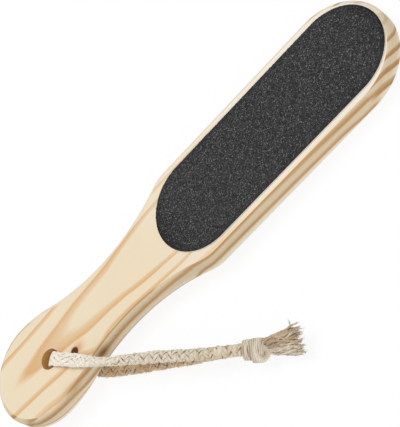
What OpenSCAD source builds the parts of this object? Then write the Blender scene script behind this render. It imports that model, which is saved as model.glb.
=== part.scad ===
// Wooden foot file: a flat paddle with a sanding sheet on each face and a knotted cord loop.
// Millimetres. The origin is the middle of the board and its sheets, +X points to the tip of
// the head and +Z out of the front face.

/* [Board] */
// Length of the board from the handle end to the tip
board_l = 255; // [240:1:275]
// Thickness of the board
board_t = 9; // [8:0.1:9.2]
// Width of the head
head_w = 60; // [56:0.5:66]
// Width of the neck at its narrowest
neck_w = 36.4; // [32:0.2:40]
// Width of the handle at its widest
handle_w = 53.6; // [51:0.2:56]
// Radius of the hollow curves that form the neck
neck_r = 102.5; // [90:0.5:115]
// Radius of the shoulders where the head begins
shoulder_r = 21; // [16:0.5:26]
// Radius of the flanks between the handle end and the neck
flank_r = 57.5; // [48:0.5:68]
// Radius of the rounded edge round both faces
edge_r = 2.2; // [1:0.1:3]

/* [Cord hole] */
// Diameter of the hole for the cord
hole_d = 10; // [9.6:0.1:12]
// Distance from the handle end to the middle of the hole
hole_inset = 34; // [33.5:0.1:34.5]
// Distance of the hole from the middle line
hole_shift = 1; // [0.6:0.1:1.4]
// Size of the chamfer that eases both mouths of the hole
mouth_c = 0.5; // [0.2:0.1:0.8]

/* [Sanding sheets] */
// Length of each sheet
sheet_l = 139.4; // [120:0.2:150]
// Bare flat wood between a sheet and the rounded edge along the sides
side_margin = 2.8; // [1:0.1:5]
// Bare flat wood between a sheet and the rounded edge at the tip
tip_margin = 0.1; // [0:0.1:3]
// Thickness of the adhesive film
adhesive_t = 0.1; // [0.05:0.01:0.2]
// Thickness of the backing paper
paper_t = 0.3; // [0.2:0.01:0.5]
// Thickness of the coarse grit on the front
coarse_t = 0.45; // [0.3:0.01:0.6]
// Thickness of the fine grit on the back
fine_t = 0.3; // [0.15:0.01:0.5]
// Distance that the adhesive and the grit stop short of the paper's edge
coat_setback = 0.2; // [0.1:0.05:0.5]

/* [Cord] */
// Width of the cord where it is pressed flat over the board
flat_w = 7; // [6:0.1:7.2]
// Thickness of the cord where it is pressed flat
flat_t = 3; // [2.4:0.1:3.2]
// Width of the cord where it hangs free
free_w = 5.2; // [4.4:0.1:5.4]
// Thickness of the cord where it hangs free
free_t = 4.4; // [3.8:0.1:4.4]
// Thickness of each leg where it is squeezed into the knot
throat_t = 3.2; // [2.8:0.1:3.4]
// Distance between the middles of the two legs at the knot
leg_pitch = 4; // [4:0.1:4.6]

/* [Knot and tails] */
// Thickness of the knot across its wraps
knot_d = 10.6; // [9.6:0.1:12]
// Height of the ridges that the wraps make on the knot
wrap_h = 0.45; // [0.2:0.05:0.6]
// Distance between the middles of the two tails at the knot
tail_pitch = 3.4; // [3.3:0.1:4.2]
// Thickness of each tail where it leaves the knot
tail_t = 3.1; // [2.8:0.1:3.2]
// Width of the front tail across its frayed end
front_fray_w = 8.2; // [6:0.1:8.6]
// Width of the back tail across its frayed end
back_fray_w = 6.4; // [5:0.1:6.8]
// Thickness of both tails at their frayed ends
fray_t = 4; // [3:0.1:4.6]

/* [Hidden] */

// Cuts pass the faces that they open by this much
overrun = 1;
// Steps of the rounded edge, and of a quarter of the outline's ends
edge_steps = 4;
end_steps = 15;
flank_steps = 5;
neck_steps = 13;
shoulder_steps = 5;
// Sides of the cord's legs and tails, and of the knot
cord_sides = 8;
knot_sides = 16;
knot_rings = 14;
// Sideways wraps that show along the knot
wrap_count = 3;

// Board outline: middles of its arcs along X, then across Y
handle_r = handle_w / 2;
tip_r = head_w / 2;
handle_x = handle_r - board_l / 2;
tip_x = board_l / 2 - tip_r;
flank_y = handle_r - flank_r;
neck_y = neck_w / 2 + neck_r;
shoulder_y = tip_r - shoulder_r;
neck_x = handle_x + sqrt(pow(neck_r + flank_r, 2) - pow(neck_y - flank_y, 2));
shoulder_x = neck_x + sqrt(pow(neck_r + shoulder_r, 2) - pow(neck_y - shoulder_y, 2));
// Directions in which the flank meets the neck and the neck meets the shoulder
flank_end = atan2(neck_y - flank_y, neck_x - handle_x);
shoulder_start = atan2(neck_y - shoulder_y, neck_x - shoulder_x);

hole_at = [hole_inset - board_l / 2, -hole_shift];

sheet_r = head_w / 2 - edge_r - side_margin;
sheet_tip_x = board_l / 2 - edge_r - tip_margin - sheet_r;
sheet_root_x = sheet_tip_x + 2 * sheet_r - sheet_l;

// Cord route. Each leg starts at the middle of the hole's depth, lies over its face of the
// board and closes on the other leg towards the knot. The points are the middle of the cord.
front_leg_points = [
    [-94.4, 0, 0], [-94.4, 0, 1.1], [-94.2, -0.2, 2.3], [-93.7, -0.8, 3.7],
    [-92.9, -1.7, 4.9], [-91.7, -3, 5.9], [-90.2, -4.8, 6.3], [-86.8, -8.7, 6.4],
    [-82.8, -13.2, 6.4], [-78.2, -18.4, 6.4], [-73.8, -23.3, 6.5], [-70.2, -26.9, 6.5],
    [-66, -30.8, 6.2], [-61.5, -34.3, 5.6], [-53, -41, 4.6], [-44.6, -47.9, 3.7],
    [-36.6, -54.9, 3], [-30.6, -60.3, 2.6], [-24.4, -65.5, 2.3], [-18.2, -70.4, 2.1]];
back_leg_points = [
    [-94.4, 0, 0], [-94.4, 0, -1.1], [-94.2, -0.2, -2.3], [-93.7, -0.8, -3.7],
    [-92.9, -1.7, -4.9], [-91.7, -3, -5.9], [-90.2, -4.8, -6.3], [-86.7, -8.7, -6.4],
    [-82.4, -13.8, -6.4], [-77.2, -20.1, -6.4], [-73.2, -24.2, -6.5], [-69.4, -27.8, -6.5],
    [-64.6, -32, -6], [-59.6, -36.4, -5.2], [-49.9, -44.2, -4.2], [-40.4, -51.7, -3.5],
    [-33.4, -57.2, -3], [-26.5, -62.2, -2.6], [-19.8, -67.2, -2.4]];
// How flat the cord is pressed at each point of a leg, from 0 free to 1 flat
front_flat_shares = [1, 1, 1, 1, 1, 1, 1, 1, 1, 0.9, 0.7, 0.5, 0.2, 0, 0, 0, 0, 0, 0, 0, 0];
back_flat_shares = [1, 1, 1, 1, 1, 1, 1, 1, 1, 0.9, 0.7, 0.5, 0.2, 0, 0, 0, 0, 0, 0, 0];

// The knot's middle line, from the legs to the tails
knot_points = [[-10.5, -75.7, -0.3], [-9.2, -77.4, -0.8], [-7.4, -79.3, -1.1],
    [-5.3, -80.8, -1.1], [-3.4, -81.6, -0.7], [-1.9, -81.9, -0.3]];
knot_start = knot_points[0];
knot_end = knot_points[len(knot_points) - 1];
knot_axis = unit(knot_end - knot_start);
// The legs lie one over the other at the knot, and the tails side by side
leg_stack = across(knot_axis, [0.24, -0.67, 0.7]);
tail_stack = cross(knot_axis, leg_stack);
// The flat side of both legs faces across the hole
flat_side = [0.755, 0.656, 0];

front_tail_points = [[5.4, -84, 0.9], [10.4, -86.6, 1.1], [15.3, -89, 1.2]];
back_tail_points = [[2.6, -88.4, -1.3], [6.8, -92.1, -1.5], [10.8, -95.6, -1.6]];
// How far each tail has opened out at its points, from 0 at the knot to 1 at the end
fray_shares = [0, 0.2, 0.6, 1];

front_leg_path = concat(front_leg_points, [knot_start + leg_stack * leg_pitch / 2]);
back_leg_path = concat(back_leg_points, [knot_start - leg_stack * leg_pitch / 2]);
front_tail_path = concat([knot_end - tail_stack * tail_pitch / 2], front_tail_points);
back_tail_path = concat([knot_end + tail_stack * tail_pitch / 2], back_tail_points);

function unit(v) = v / norm(v);
// The part of v that is square to axis, at length one
function across(axis, v) = unit(v - axis * (axis * v));
function mix(a, b, share) = a + (b - a) * share;

// Points of an arc from angle a to angle b, without the last one
function arc(middle, r, a, b, steps) =
    [for (i = [0:steps - 1]) middle + r * [cos(mix(a, b, i / steps)), sin(mix(a, b, i / steps))]];

// Upper half of the board's outline, from the handle end to the tip, drawn in by inset
function half_outline(inset) = concat(
    arc([handle_x, 0], handle_r - inset, 180, 90, end_steps),
    arc([handle_x, flank_y], flank_r - inset, 90, flank_end, flank_steps),
    arc([neck_x, neck_y], neck_r + inset, 180 + flank_end, 180 + shoulder_start, neck_steps),
    arc([shoulder_x, shoulder_y], shoulder_r - inset, shoulder_start, 90, shoulder_steps),
    arc([tip_x, 0], tip_r - inset, 90, 0, end_steps));

function outline(inset) =
    let (upper = half_outline(inset), count = len(upper))
    concat(upper, [[tip_x + tip_r - inset, 0]], [for (i = [count - 1:-1:1]) [upper[i].x, -upper[i].y]]);

// Sections of the board from the back face to the front face as [inset, height]
edge_sections =
    let (turn = 90 / edge_steps, flat = board_t / 2 - edge_r)
    concat(
        [for (i = [0:edge_steps]) [edge_r * (1 - sin(i * turn)), -flat - edge_r * cos(i * turn)]],
        [for (i = [edge_steps:-1:0]) [edge_r * (1 - sin(i * turn)), flat + edge_r * cos(i * turn)]]);

// Faces round a stack of rings with the same number of points, open at both ends
function wall_faces(rings, sides) = concat(
    [for (i = [0:rings - 2], k = [0:sides - 1])
        let (a = i * sides + k, b = i * sides + (k + 1) % sides) [a, b, a + sides]],
    [for (i = [0:rings - 2], k = [0:sides - 1])
        let (a = i * sides + k, b = i * sides + (k + 1) % sides) [b, b + sides, a + sides]]);

// The same faces with both ends closed by one flat face each
function stack_faces(rings, sides) = concat(
    [[for (k = [sides - 1:-1:0]) k]],
    [[for (k = [0:sides - 1]) (rings - 1) * sides + k]],
    wall_faces(rings, sides));

// A face of the board as strips across it, where first is its outline's first point
function strips(first, sides) =
    [for (i = [0:sides / 2 - 1])
        let (a = [i, i + 1, sides - i - 1, sides - i])
        [for (k = i == 0 ? [0, 1, 2] : i == sides / 2 - 1 ? [0, 1, 3] : [0, 1, 2, 3]) first + a[k]]];
function flipped(faces) = [for (f = faces) [for (k = [len(f) - 1:-1:0]) f[k]]];

// Direction of a path at point i, where a given direction holds at either end
function heading(path, i, first, end) =
    i == 0 && first != undef ? first :
    i == len(path) - 1 && end != undef ? end :
    unit(path[min(i + 1, len(path) - 1)] - path[max(i - 1, 0)]);

// An oval ring square to the heading, its width along the side vector
function oval(middle, direction, side, w, t, sides) =
    let (wide = across(direction, side), thick = cross(direction, wide))
    [for (k = [0:sides - 1])
        middle + wide * (w / 2 * cos(360 * k / sides)) - thick * (t / 2 * sin(360 * k / sides))];

module tube(path, widths, depths, side, first, end) {
    rings = [for (i = [0:len(path) - 1])
        each oval(path[i], heading(path, i, first, end), side, widths[i], depths[i], cord_sides)];
    polyhedron(rings, stack_faces(len(path), cord_sides), convexity = 6);
}

module cord_leg(path, shares, up) {
    widths = [for (share = shares) mix(free_w, flat_w, share)];
    loose = [for (share = shares) mix(free_t, flat_t, share)];
    depths = [for (i = [0:len(loose) - 1]) i < len(loose) - 1 ? loose[i] : throat_t];
    tube(path, widths, depths, flat_side, [0, 0, up], knot_axis);
}

module cord_tail(path, fray_w) {
    widths = [for (share = fray_shares) mix(tail_t, fray_w, share)];
    depths = [for (share = fray_shares) mix(tail_t, fray_t, share)];
    tube(path, widths, depths, tail_stack, knot_axis, undef);
}

// A sheet's outline with round ends, laid from one height to another
module sheet_layer(low, high, setback) {
    translate([0, 0, low]) linear_extrude(high - low) union() {
        translate([sheet_root_x, setback - sheet_r])
            square([sheet_tip_x - sheet_root_x, 2 * (sheet_r - setback)]);
        for (x = [sheet_root_x, sheet_tip_x])
            translate([x, 0]) circle(r = sheet_r - setback, $fn = 96);
    }
}

// A cone that eases the hole's mouth on the front face
module mouth_cut() {
    translate([0, 0, -mouth_c])
        cylinder(d1 = hole_d, d2 = hole_d + 2 * (mouth_c + overrun), h = mouth_c + overrun, $fn = 64);
}

module wooden_board() {
    points = [for (section = edge_sections, p = outline(section[0])) [p.x, p.y, section[1]]];
    rings = len(edge_sections);
    sides = len(points) / rings;
    faces = concat(strips(0, sides), flipped(strips((rings - 1) * sides, sides)),
        wall_faces(rings, sides));
    color("#ecd3a6") difference() {
        polyhedron(points, faces, convexity = 4);
        translate([hole_at.x, hole_at.y, -board_t / 2 - overrun])
            cylinder(d = hole_d, h = board_t + 2 * overrun, $fn = 64);
        for (face = [0, 1]) mirror([0, 0, face])
            translate([hole_at.x, hole_at.y, board_t / 2]) mouth_cut();
    }
}

module front_adhesive()
    color("#d9d4c4") sheet_layer(board_t / 2, board_t / 2 + adhesive_t, coat_setback);

module front_backing_paper()
    color("#8a7256") sheet_layer(board_t / 2 + adhesive_t, board_t / 2 + adhesive_t + paper_t, 0);

module front_coarse_grit() {
    low = board_t / 2 + adhesive_t + paper_t;
    color("#2e2d2c") sheet_layer(low, low + coarse_t, coat_setback);
}

module back_adhesive()
    color("#d9d4c4") mirror([0, 0, 1])
        sheet_layer(board_t / 2, board_t / 2 + adhesive_t, coat_setback);

module back_backing_paper()
    color("#8a7256") mirror([0, 0, 1])
        sheet_layer(board_t / 2 + adhesive_t, board_t / 2 + adhesive_t + paper_t, 0);

module back_fine_grit() {
    low = board_t / 2 + adhesive_t + paper_t;
    color("#3a3938") mirror([0, 0, 1]) sheet_layer(low, low + fine_t, coat_setback);
}

module cord_front_leg() color("#ece3d2") cord_leg(front_leg_path, front_flat_shares, 1);

module cord_back_leg() color("#d8c8ad") cord_leg(back_leg_path, back_flat_shares, -1);

// Point along the knot's middle line, with share 0 at the legs and 1 at the tails
function knot_middle(share) =
    let (run = share * (len(knot_points) - 1), i = min(floor(run), len(knot_points) - 2))
    mix(knot_points[i], knot_points[i + 1], run - i);

// Ring of the knot: flat and oval at its ends, full between them, with slanting ridges
function knot_ring(share) =
    let (
        full = sqrt(sin(180 * share)),
        end_high = share < 0.5 ? leg_pitch + throat_t : tail_t,
        end_wide = share < 0.5 ? free_w : tail_pitch + tail_t,
        high = mix(end_high, knot_d, full) / 2,
        wide = mix(end_wide, knot_d, full) / 2)
    [for (k = [0:knot_sides - 1])
        let (
            turn = 360 * k / knot_sides,
            ridge = wrap_h * full * cos(360 * wrap_count * share + turn))
        knot_middle(share) + leg_stack * ((high + ridge) * cos(turn))
            - tail_stack * ((wide + ridge) * sin(turn))];

module cord_knot() {
    rings = [for (i = [0:knot_rings]) each knot_ring(i / knot_rings)];
    color("#ddd0ba") polyhedron(rings, stack_faces(knot_rings + 1, knot_sides), convexity = 4);
}

module cord_front_tail() color("#d6c3a4") cord_tail(front_tail_path, front_fray_w);

module cord_back_tail() color("#cdb794") cord_tail(back_tail_path, back_fray_w);

wooden_board();
front_adhesive();
front_backing_paper();
front_coarse_grit();
back_adhesive();
back_backing_paper();
back_fine_grit();
cord_front_leg();
cord_back_leg();
cord_knot();
cord_front_tail();
cord_back_tail();
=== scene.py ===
"""Foot file: a pine paddle with a sanding sheet on each face and a knotted cotton cord loop.

The frame is metres, +X to the tip of the head, +Z out of the front face.
"""
import functools
import math
import random

import bpy
import numpy as np
from mathutils import Matrix, Vector


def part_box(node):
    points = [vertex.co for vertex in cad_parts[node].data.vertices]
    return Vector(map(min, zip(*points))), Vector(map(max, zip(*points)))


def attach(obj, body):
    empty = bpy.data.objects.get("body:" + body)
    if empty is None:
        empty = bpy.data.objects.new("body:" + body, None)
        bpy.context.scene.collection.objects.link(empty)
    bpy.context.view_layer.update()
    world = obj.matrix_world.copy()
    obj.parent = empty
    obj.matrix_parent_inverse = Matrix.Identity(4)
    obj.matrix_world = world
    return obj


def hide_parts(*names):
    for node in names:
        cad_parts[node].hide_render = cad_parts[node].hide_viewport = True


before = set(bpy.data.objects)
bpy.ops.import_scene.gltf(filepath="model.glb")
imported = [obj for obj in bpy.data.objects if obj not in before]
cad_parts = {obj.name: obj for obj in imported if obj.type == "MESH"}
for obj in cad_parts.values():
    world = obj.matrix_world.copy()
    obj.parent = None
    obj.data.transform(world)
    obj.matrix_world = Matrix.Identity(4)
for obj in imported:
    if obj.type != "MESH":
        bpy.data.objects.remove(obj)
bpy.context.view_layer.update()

bl_info = {
    "name": "Foot file",
    "version": (1, 0, 0),
    "blender": (4, 5, 0),
    "location": "View3D > Sidebar > Foot file",
    "description": "Builds a wooden foot file with its sanding sheets and its cord loop",
    "category": "Add Mesh",
}

MM = 0.001
FILE_BODY = "file"
CORD_BODY = "cord_loop"
BOARD_LOW, BOARD_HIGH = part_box("wooden_board")
FRONT_GRIT_LOW, FRONT_GRIT_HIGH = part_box("front_coarse_grit")
BACK_GRIT_LOW, BACK_GRIT_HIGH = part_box("back_fine_grit")

# The camera stands where the reference picture was taken from, in metres, with its own
# right, up and backward directions.
CAMERA_PLACE = (0.175226, -0.478962, 0.503097)
CAMERA_RIGHT = (0.6728888, -0.4104295, -0.6154415)
CAMERA_UP = (0.7007633, 0.6201686, 0.3525928)
CAMERA_BACK = (0.2369630, -0.6685346, 0.7049184)
CAMERA_LENS_MM = 133.02
CAMERA_CLIP = (0.01, 20)

# Middle of each cord leg in millimetres, from the middle of the hole's depth to the knot
FRONT_LEG_MM = [
    (-94.4, 0, 0), (-94.4, 0, 1.1), (-94.2, -0.2, 2.3), (-93.7, -0.8, 3.7),
    (-92.9, -1.7, 4.9), (-91.7, -3, 5.9), (-90.2, -4.8, 6.3), (-86.8, -8.7, 6.4),
    (-82.8, -13.2, 6.4), (-78.2, -18.4, 6.4), (-73.8, -23.3, 6.5), (-70.2, -26.9, 6.5),
    (-66, -30.8, 6.2), (-61.5, -34.3, 5.6), (-53, -41, 4.6), (-44.6, -47.9, 3.7),
    (-36.6, -54.9, 3), (-30.6, -60.3, 2.6), (-24.4, -65.5, 2.3), (-18.2, -70.4, 2.1)]
BACK_LEG_MM = [
    (-94.4, 0, 0), (-94.4, 0, -1.1), (-94.2, -0.2, -2.3), (-93.7, -0.8, -3.7),
    (-92.9, -1.7, -4.9), (-91.7, -3, -5.9), (-90.2, -4.8, -6.3), (-86.7, -8.7, -6.4),
    (-82.4, -13.8, -6.4), (-77.2, -20.1, -6.4), (-73.2, -24.2, -6.5), (-69.4, -27.8, -6.5),
    (-64.6, -32, -6), (-59.6, -36.4, -5.2), (-49.9, -44.2, -4.2), (-40.4, -51.7, -3.5),
    (-33.4, -57.2, -3), (-26.5, -62.2, -2.6), (-19.8, -67.2, -2.4)]
# How flat each leg is pressed, from 1 at the hole to 0 where it hangs free
FLAT_SHARES = [1, 1, 1, 1, 1, 1, 1, 1, 1, 0.9, 0.7, 0.5, 0.2, 0]
# The knot's middle line, and each tail from the knot to its frayed end
KNOT_MM = [(-10.5, -75.7, -0.3), (-9.2, -77.4, -0.8), (-7.4, -79.3, -1.1),
           (-5.3, -80.8, -1.1), (-3.4, -81.6, -0.7), (-1.9, -81.9, -0.3)]
FRONT_TAIL_MM = [(5.4, -84, 0.9), (10.4, -86.6, 1.1), (15.3, -89, 1.2)]
BACK_TAIL_MM = [(2.6, -88.4, -1.3), (6.8, -92.1, -1.5), (10.8, -95.6, -1.6)]
# The width of both legs runs along this direction, and they are stacked along the other
FLAT_SIDE = np.array((0.755, 0.656, 0))
STACK_SIDE = np.array((0.24, -0.67, 0.7))
# In the hole the cord is pulled flat against the wall on the side that it leaves by
HOLE_PULL = np.array((0.70, -0.72, 0))
# Both tails open into fans that spread along this direction
FAN_SIDE = np.array((0.701, 0.620, 0.353))
# The knot's bands run round this direction, and its open side looks along the other
BAND_AXIS = np.array((0.740, -0.346, -0.577))
OPEN_SIDE = np.array((0.237, -0.669, 0.705))

# Year rings: the radius in millimetres of each dark line's outer edge round the heart of
# the tree, the width of its late wood and how strong it shows, in the handle and the head
HANDLE_RINGS = [
    (18.3, 2.1, 0.95), (24.0, 1.6, 0.95), (32.0, 2.8, 0.85), (33.8, 1.3, 0.5), (37.2, 1.5, 0.6),
    (41.5, 1.7, 0.8)]
HEAD_RINGS = [
    (18.35, 1.6, 0.3), (24.2, 1.5, 0.8), (29.4, 1.7, 1.0), (33.8, 1.8, 1.0), (37.5, 1.8, 0.9),
    (41.4, 1.6, 0.8)]
RING_REACH = 44
# Across a dark line: how far inside its outer edge, as a share of its width and as more
# millimetres, and how dark it is there
RING_SHAPE = ((1, 0, 0), (0.7, 0, 0.5), (0.35, 0, 0.72), (0, 0.1, 1), (0, -0.5, 0))
# The handle's rings turn into the head's over this stretch of the board
HEAD_STRETCH = (0, 30)
# How high in millimetres the heart of the tree lies above the front face, along the board,
# the most that it can be, and how far it is from the middle line
HEART_HEIGHTS = [
    (-128, 18.9), (-114, 18.4), (-100, 17.85), (-84, 17.0), (-69, 15.7), (-56, 15.1),
    (-45, 14.3), (-35, 12.7), (-13, 8.9), (20, 7.5), (70, 9.5), (105, 14.0), (128, 15.0)]
HEART_SPAN = 25
HEART_SHIFT = 3.5
# Spots of the board: the place, its spread and how much it is narrowed along each axis. The
# branch, the one in the edge and the swell, where late wood runs out, also bend the rings
BRANCH_PLACE = (-80.1, -9.4, 4.5)
EDGE_BRANCH_PLACE = (-69.0, -19.9, 1.8)
SPOTS = {
    "branch": (BRANCH_PLACE, 3.4, (0.7, 1, 0.3)),
    "branch_core": (BRANCH_PLACE, 2.15, (0.9, 0.85, 0.3)),
    "swirl": ((-78.1, -9.2, 4.5), 2.9, (0.8, 1, 0.4)),
    "edge_branch": (EDGE_BRANCH_PLACE, 7.5, (0.9, 1.1, 0.3)),
    "edge_core": (EDGE_BRANCH_PLACE, 2.6, (0.7, 0.6, 1.1)),
    "swell": ((-94.0, -24.0, 4.5), 8.0, (0.8, 1, 0.3)),
    "stain": ((-89.5, -24.3, 4.5), 2.8, (0.45, 1, 1.4))}
# Ramps along the board run from minus this to this
BOARD_REACH = 128
# Where along the board something shows, and how strong: the rings that fade beside the grit,
# the side that runs lengthwise, its browner ends, the paler head and the edge beside the grit
STRETCHES = {
    "calm": [(40, 0), (75, 0.7)],
    "lengthwise": [(-121, 0), (-115, 1), (98, 1), (103, 0)],
    "brown": [(-80, 1), (-55, 0), (95, 0), (108, 1)],
    "pale": [(-25, 0), (45, 1)],
    "rim": [(-30, 0), (0, 1), (75, 1), (95, 0)]}
# Between these places across the board, the face turns warm towards its right edge
RIM_PLACES = (-25.2, -27.6)
# Year rings that the side cuts lengthwise: the middle of each dark line as places along the
# board and levels, how far it reaches below and above them, and how strong it shows. A level
# is a height from the middle of the side, measured round the rounded edge, in millimetres
SIDE_RINGS = [
    ([(-119, 4.5), (-113.5, 5.9), (-112, 7), (-95, 7), (-93.6, 6.2), (-89.6, 5.6), (-84.8, 4.7),
      (-80.6, 3.6), (-77.5, 2.8), (-70, 1.9), (-64, 1.4), (-43, 1.1), (-33, 1.4), (-23, 2.5),
      (-15, 3.6), (-8.8, 4.8), (-3, 5.35), (30, 5.4), (47, 5.1), (62, 4.8), (71.5, 4.4),
      (88, 3.6), (97, 3.3), (102, 2.6), (104, 1.7)], 1.3, 2.4, 0.92),
    ([(-115, 2.2), (-109.5, 2.9), (-103, 3.1), (-96, 2.5), (-89.6, 1.4), (-84.8, -0.1),
      (-80.6, -1.2), (-76.5, -1.8), (-70, -3.9), (-14, -3.9), (-8.8, -1.0), (-4.8, 0.2),
      (1.5, 1.0), (9, 0.9), (30, 0.5), (50, 0.1), (63, -0.3), (80, -0.9), (92, -2.2)],
     1.3, 2.2, 0.9),
    ([(-119, -0.4), (-111, -0.8), (-100, -1.4), (-89, -1.9), (-80, -4)], 0.7, 0.6, 0.6),
    ([(-79, 7), (-76, 6), (-72, 5.35), (-32, 5.4), (-27, 6.4)], 0.8, 0.7, 1.0)]
# Across such a line, from its lower to its upper end: sharp below and soft above
SIDE_SHAPE = ((-1, 0), (-0.4, 0.8), (0, 1), (0.3, 0.75), (0.6, 0.3), (1, 0))
# A ramp holds this many millimetres of level, and level nought lies at this share of it
LEVEL_SPAN, LEVEL_ZERO = 12, 0.4
# The side's look, its cut rings and the greyer shade painted on it, ends between these
# levels, where the rounded edge meets the face
WALL_LEVELS = (5.75, 5.62)
# Painted light: between these levels the side is painted paler towards its lower edge, as
# bounce light from the floor, up to the first share, and its left side is painted nowhere
# less pale than the second
FOOT_LEVELS, FOOT_MOST, FOOT_LEFT = (0.2, -2.2), 0.75, 0.6
# On the left side the same rings lie a little lower
LEFT_SHIFT = 3.0
# Noise patterns from smooth to fibrous, whose size comes from their coordinates
SMOOTH, ROUGH = {"Scale": 1, "Detail": 1}, {"Scale": 1, "Detail": 2}
FIBROUS = {"Scale": 1, "Detail": 3, "Roughness": 0.6}
# The drilled wall's look reaches this far in millimetres past the hole's radius
BORE_MARGIN = 0.15

TURN = 2 * math.pi
# Points closer than this lie on a line, and those closer than the other are one
ON_LINE, SAME_POINT = 0.01 * MM, 0.02 * MM
# Steps of the outline's arcs, sides of the hole, and steps of the rounded edge and the mouths
END_STEPS, FLANK_STEPS, NECK_STEPS, SHOULDER_STEPS = 48, 20, 48, 24
HOLE_SIDES, EDGE_STEPS, MOUTH_STEPS = 96, 8, 4
# The mouths' edges lie less than this outside the hole's radius
MOUTH_MARGIN = 0.1 * MM
# Edges sharper than the first are rounded, and those flatter than the second shaded smooth,
# where large faces count for this much of the shading
EDGE_ANGLE, SMOOTH_ANGLE, FACE_WEIGHT = math.radians(60), math.radians(35), 80
# Size of the grids that the grains are raised from
COARSE_STEP, FINE_STEP = 0.36 * MM, 0.40 * MM

# How finely a route is walked through, and how many points the pieces' middle lines have
SPAN_STEPS = 24
LEG_POINTS, TAIL_POINTS, KNOT_POINTS = 280, 70, 40
CORD_SEED = 5
# Braid: twelve strands in all, of two yarns each
STRANDS = 6
YARNS_IN_STRAND = 2
LEAST_RADIUS = 0.2 * MM
# As shares of a yarn's thickness: how far apart the yarns of a strand lie, how deep their
# middles lie, and how wide and high they are
YARN_PITCH, YARN_INSET, YARN_OVAL = 0.95, 0.62, (1.14, 0.85)
# The strands slant, so their yarns lie this much closer round the cord
STRAND_SLANT = 1.25
# Shade painted in the braid's hollows on the whole, and how much less on top of a strand
BRAID_HOLLOW = (0.40, 0.5)
# How far a strand rises, as a share of a yarn, hanging free, and how much less pressed flat
STRAND_RISE = (0.42, 0.26)
# The core under the braid lies this many yarns inside it, across the width and the depth
CORE_INSETS = (0.95, 0.8)
# In the hole the cord is thinner by this share and lies this far off the middle
HOLE_PRESS, HOLE_OFF = 0.34, 0.95 * MM
# Where it is pulled, the braid is stretched by this share
MOST_STRETCH = 1.3
# Unevenness along a cord: the length of one swing, and how far it goes. On the knot the
# length is an angle in radians
WANDER = {
    "turn": (9 * MM, 0.16), "phase": (5 * MM, 0.20), "swell": (3.5 * MM, 0.16),
    "stain": (6 * MM, 0.16), "inset": (4 * MM, 0.08 * MM), "width": (8 * MM, 0.05),
    "tail": (5 * MM, 0.35 * MM), "tail_hollow": (3 * MM, 0.35), "wrap": (1.2, 0.10 * MM),
    "wrap_along": (1.5, 0.16 * MM), "wrap_hollow": (1.0, 0.2), "loop": (1.0, 0.08 * MM)}
# Stray fibres of a leg: how many, their lengths, how far they rise as a share of those, and
# their radii at the root and the tip, in millimetres
STRAY_FIBRES, FIBRE_LENGTHS, FIBRE_RISES, FIBRE_RADII = 300, (1.0, 2.8), (0.10, 0.38), (0.06, 0.03)
# By place along a leg's points: where it is in the hole, where the pull stretches its braid,
# how uneven the braid is, its tone, which is painted light where it lies lit on the board and
# painted shade where it lies under it, and its width beside its usual one, which is less
# where it turns over the edge of the board
IN_HOLE = ((0, 4.6, 6.2), (1, 1, 0))
STRETCHED = ((0, 7.4, 8.6, 14), (1, 1, 0.3, 0))
CONTRAST = ((0, 7.5, 9, 13), (0.2, 0.25, 0.45, 0.9))
FRONT_TONES = ((0, 9, 13, 17, 20), (0, 0, 0.35, 0.6, 0.65))
BACK_TONES = ((0, 7, 10, 14, 20), (0.1, 0.6, 1, 0.9, 0.7))
FRONT_PINCH = ((0, 8, 9.5, 11, 12, 13, 14.5, 16), (1, 1, 0.86, 0.70, 0.66, 0.86, 1.06, 1))
BACK_PINCH = ((0, 8, 20), (1, 1, 1))
# Each fan's width and thickness in millimetres along the tail, and how far its end droops
FRONT_FAN = ((0, 0.3, 0.6, 1), (4.4, 5.6, 7.0, 9.6), (3.6, 3.4, 3.4, 3.2), (0.5, 2.0))
BACK_FAN = ((0, 0.3, 0.6, 1), (3.6, 4.6, 6.0, 6.6), (3.2, 3.0, 3.0, 2.8), (0, 0.3))
# How dark each tail's cotton is painted, partly its own tone and partly painted shade, and
# how much shade is painted in its hollows
FRONT_TAIL_LOOK, BACK_TAIL_LOOK = (0.85, 1.15), (0.55, 0.85)
# A tail's core ends at this point and its yarns between these points. They curl this far at
# their ends, in millimetres, lie so far apart round the tail, and vary in size and tone
CORE_POINTS, TAIL_YARNS, TAIL_ENDS, TAIL_CURL = 52, 30, (55, 67), 0.7
YARN_ANGLE, YARN_SIZES, YARN_TONES = 2.4, (0.75, 1.1), (-0.25, 0.1)
# Each yarn frays into so many hairs: their lengths, how far their roots and ways differ, and
# their radii at the root and the tip, in millimetres
HAIRS, HAIR_LENGTHS, HAIR_SPREAD, HAIR_RADII = 9, (0.8, 2.6), 0.35, (0.14, 0.05)
# Loose threads at the end of the front tail: how far each rises and how far it reaches
LOOSE_THREADS, THREAD_RADII = ((0.60, 0.95), (0.50, 0.60)), (0.32, 0.16)
# The bands of the knot: place along it, shift up and radius in millimetres, yarns, and how
# far the open side of the band leads its other side
KNOT_BANDS = ((0.15, 0.1, 4.3, 6, -0.7), (0.58, 0.0, 5.1, 7, -0.7))
# The last turn of the knot, a loop that faces forward: middle, radius, thickness and yarns
KNOT_LOOP = ((-0.5, -1.2, 3.6), 2.1, 3.1, 11)
# Its arc in degrees with its points, how much it leans, and how deep its ends dive
LOOP_ARC, LOOP_LEAN, LOOP_DIVE = (125, -200, 90), 0.35, 1.6 * MM
# Where the last turn is highest, and the angle over which it dives, in radians
LOOP_TOP, LOOP_HALF = -0.65, 2.8
# As shares of a wrap yarn: how far apart a band's yarns lie, and how wide and high the yarns
# of the bands and of the last turn are
WRAP_PITCH, WRAP_OVAL, LOOP_OVAL = 0.98, (0.52, 0.46), (0.55, 0.5)
# How much shade is painted in the gaps: in the middle of a band and how much more at its
# edges, and in the last turn on the whole and how much less on its top
BAND_HOLLOW, LOOP_HOLLOW = (0.10, 2.4), (0.3, 0.4)
WRAP_POINTS = 97
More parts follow.
